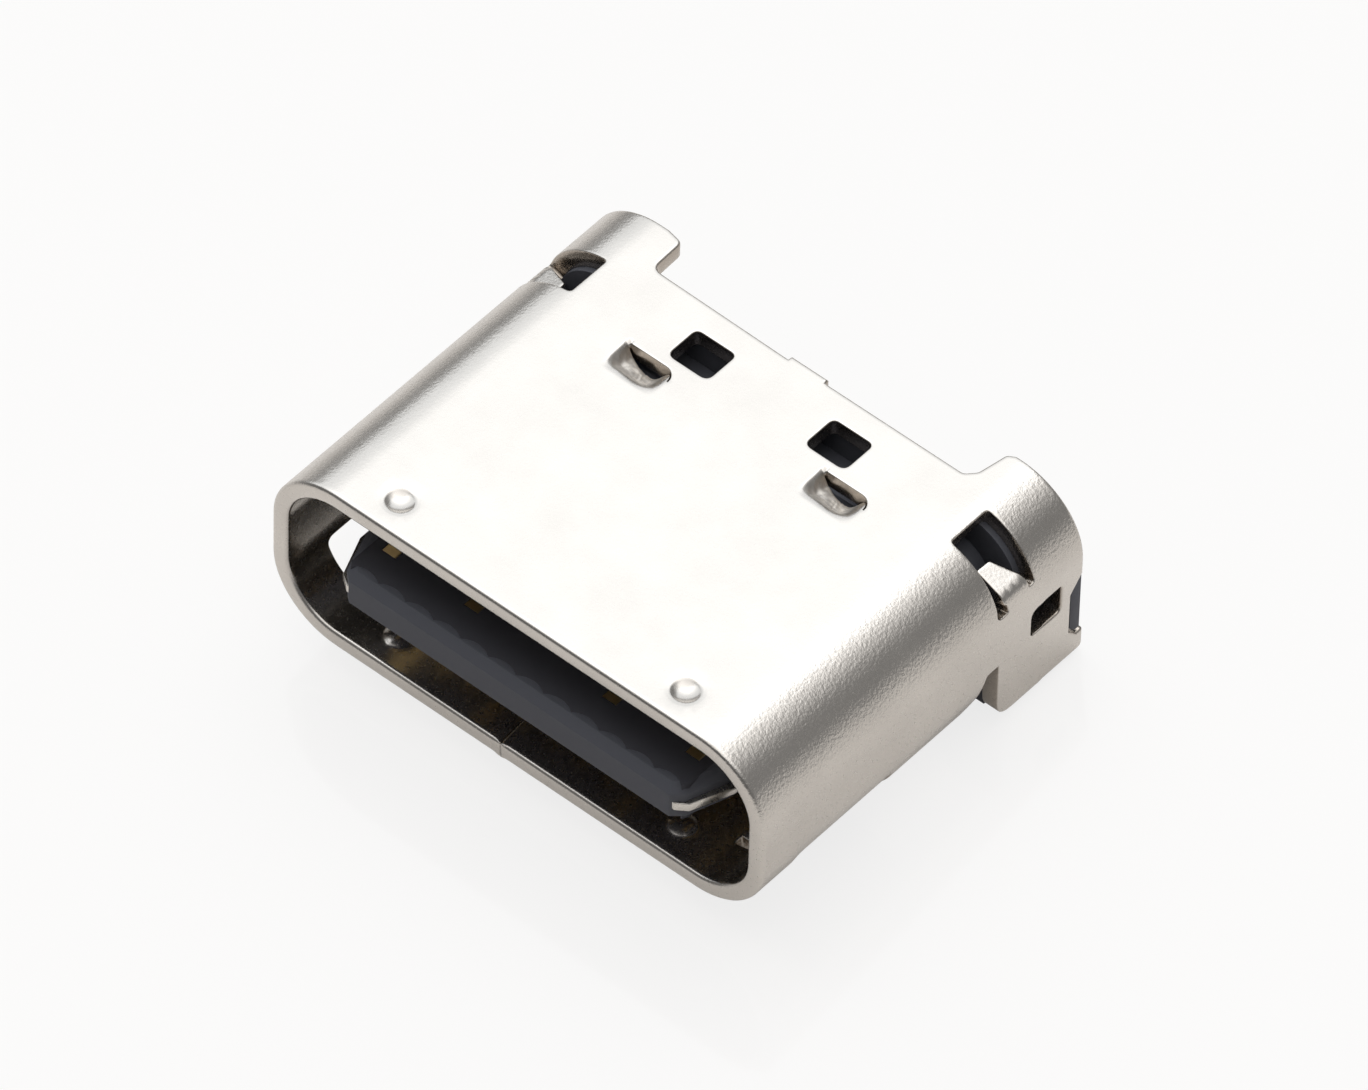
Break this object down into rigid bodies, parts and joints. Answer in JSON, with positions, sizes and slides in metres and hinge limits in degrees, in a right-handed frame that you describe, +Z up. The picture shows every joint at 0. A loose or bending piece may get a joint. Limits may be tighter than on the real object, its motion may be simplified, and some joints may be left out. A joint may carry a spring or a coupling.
{
  "type": "usb-c board socket",
  "caption": "Surface-mounted socket with a rolled metal shell, a thin contact tongue in its oval mouth, bent board legs and solder feet.",
  "frame": {"origin": "underside of the shell's floor, on the centre line, 3.0 mm behind the lip of the mouth", "axes": "+Z up from the board, -Y out of the mouth, +X to the right seen from the mouth"},
  "size_m": [0.0088, 0.007, 0.0035],
  "materials": {
    "shell_sheet": "satin nickel plate",
    "plate_steel": "satin nickel plate",
    "housing_plastic": "moulded, blue grey",
    "holder_plastic": "moulded, smooth black",
    "contact_gold": "thin gold plate"
  },
  "bodies": {
    "root": {"shell": "shell_sheet", "housing": "housing_plastic", "upper_contact_holder": "holder_plastic", "lower_contact_holder": "holder_plastic", "middle_plate": "plate_steel", "upper_ground_plate": "plate_steel", "lower_ground_plate": "plate_steel", "upper_contact_01": "contact_gold", "upper_contact_02": "contact_gold", "upper_contact_03": "contact_gold", "upper_contact_04": "contact_gold", "upper_contact_05": "contact_gold", "upper_contact_06": "contact_gold", "upper_contact_07": "contact_gold", "upper_contact_08": "contact_gold", "upper_contact_09": "contact_gold", "upper_contact_10": "contact_gold", "upper_contact_11": "contact_gold", "upper_contact_12": "contact_gold", "lower_contact_01": "contact_gold", "lower_contact_02": "contact_gold", "lower_contact_03": "contact_gold", "lower_contact_04": "contact_gold", "lower_contact_05": "contact_gold", "lower_contact_06": "contact_gold", "lower_contact_07": "contact_gold", "lower_contact_08": "contact_gold", "lower_contact_09": "contact_gold", "lower_contact_10": "contact_gold", "lower_contact_11": "contact_gold", "lower_contact_12": "contact_gold"}
  },
  "joints": []
}
